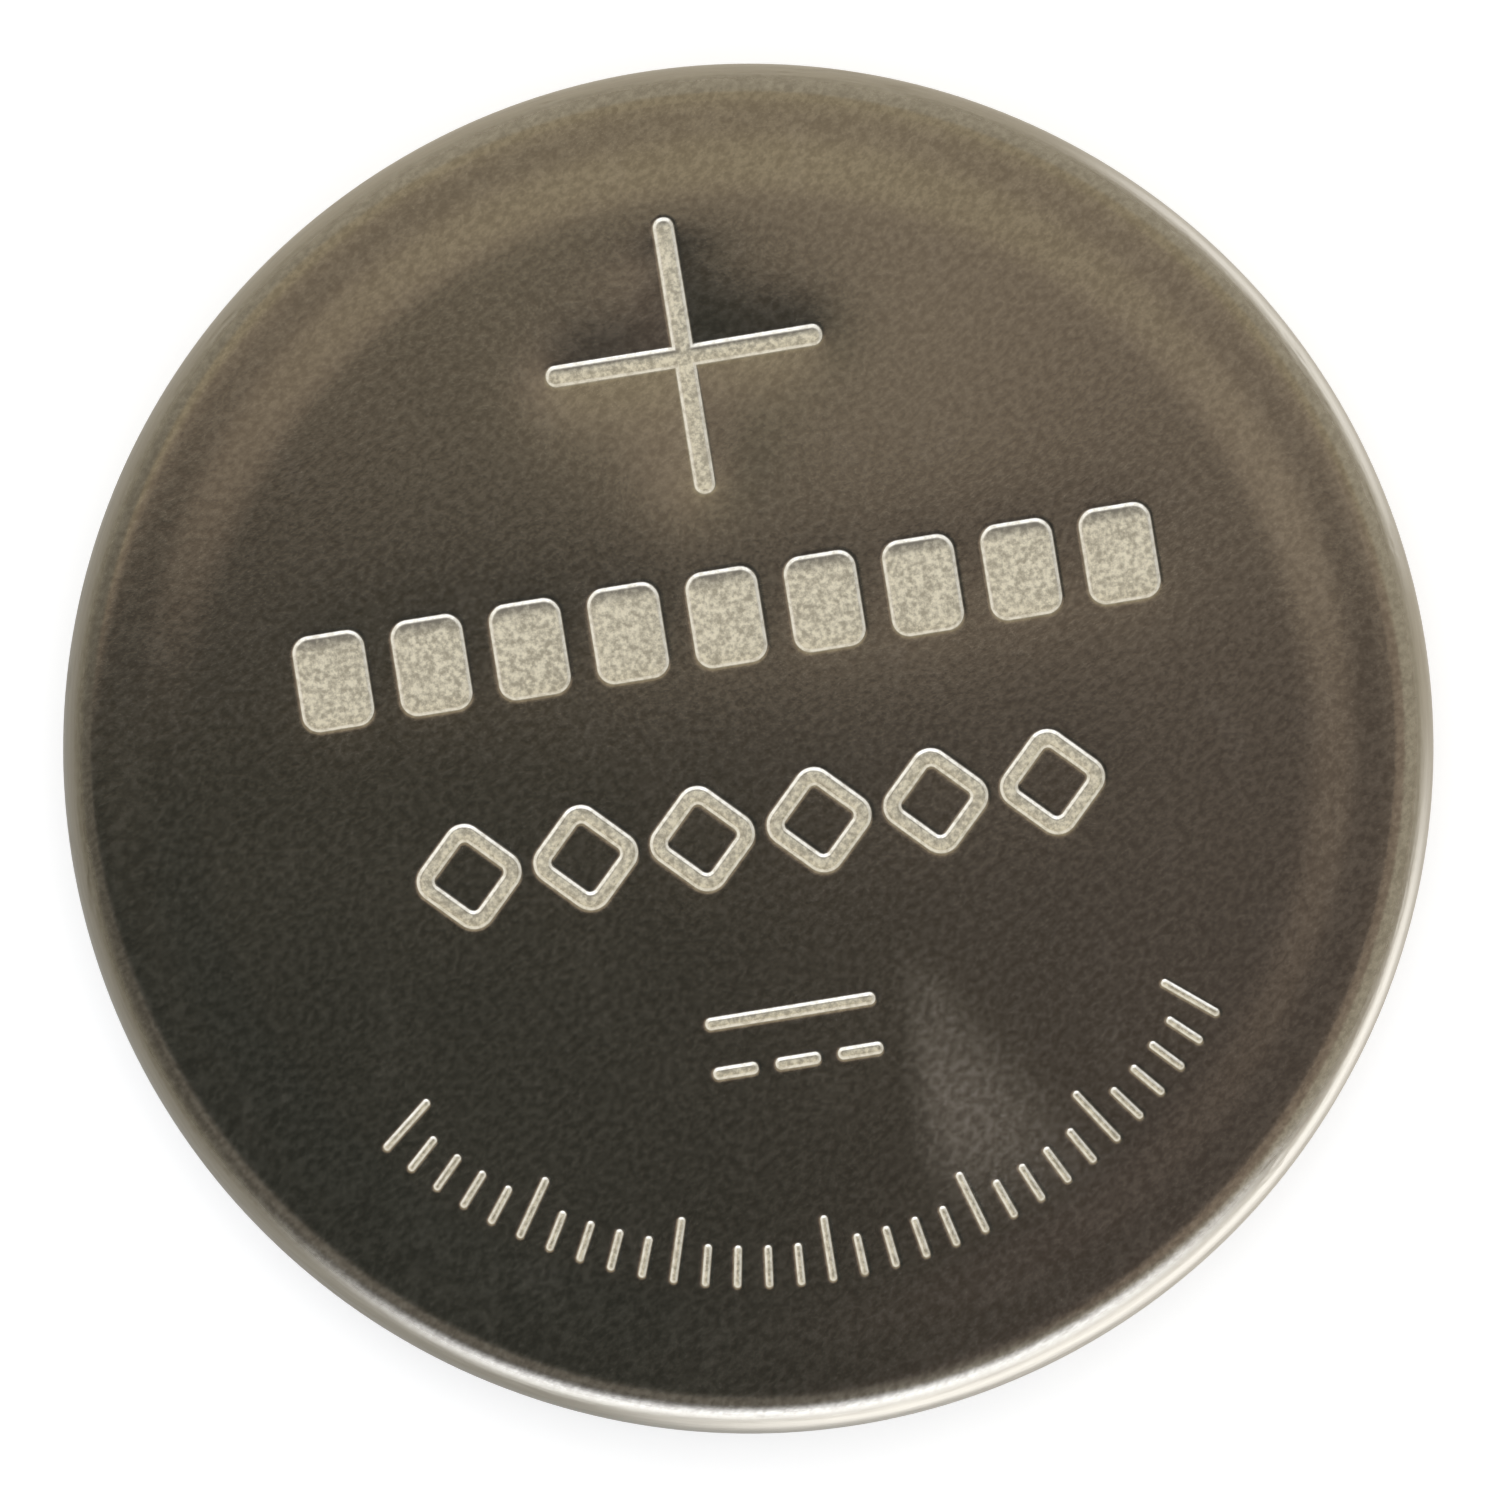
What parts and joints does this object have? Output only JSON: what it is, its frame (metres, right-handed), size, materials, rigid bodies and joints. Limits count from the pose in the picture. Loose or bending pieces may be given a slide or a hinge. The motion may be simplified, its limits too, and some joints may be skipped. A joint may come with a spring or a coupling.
{
  "type": "button cell battery",
  "caption": "Round flat lithium button cell: a crimped nickel-plated steel can over a steel cap, with a sealing gasket, electrodes, separator and collector inside.",
  "frame": {"origin": "centre of the flat negative contact face, which is the lowest face", "axes": "+Z through the cell from the negative to the positive contact; +Y across the positive face towards its plus sign"},
  "size_m": [0.02, 0.02, 0.0032],
  "materials": {
    "can_steel": "satin nickel plating, dull in the pressed marks",
    "cap_steel": "fine matt nickel plating",
    "gasket_plastic": "moulded natural polypropylene",
    "lithium_metal": "soft rolled lithium, slightly dulled",
    "separator_fleece": "fine non-woven plastic fibre",
    "cathode_mix": "pressed powder, matt black",
    "collector_steel": "bright stainless sheet"
  },
  "bodies": {
    "root": {"positive_can": "can_steel", "negative_cap": "cap_steel", "sealing_gasket": "gasket_plastic", "lithium_anode": "lithium_metal", "separator": "separator_fleece", "cathode_pellet": "cathode_mix", "collector_grid": "collector_steel"}
  },
  "joints": []
}
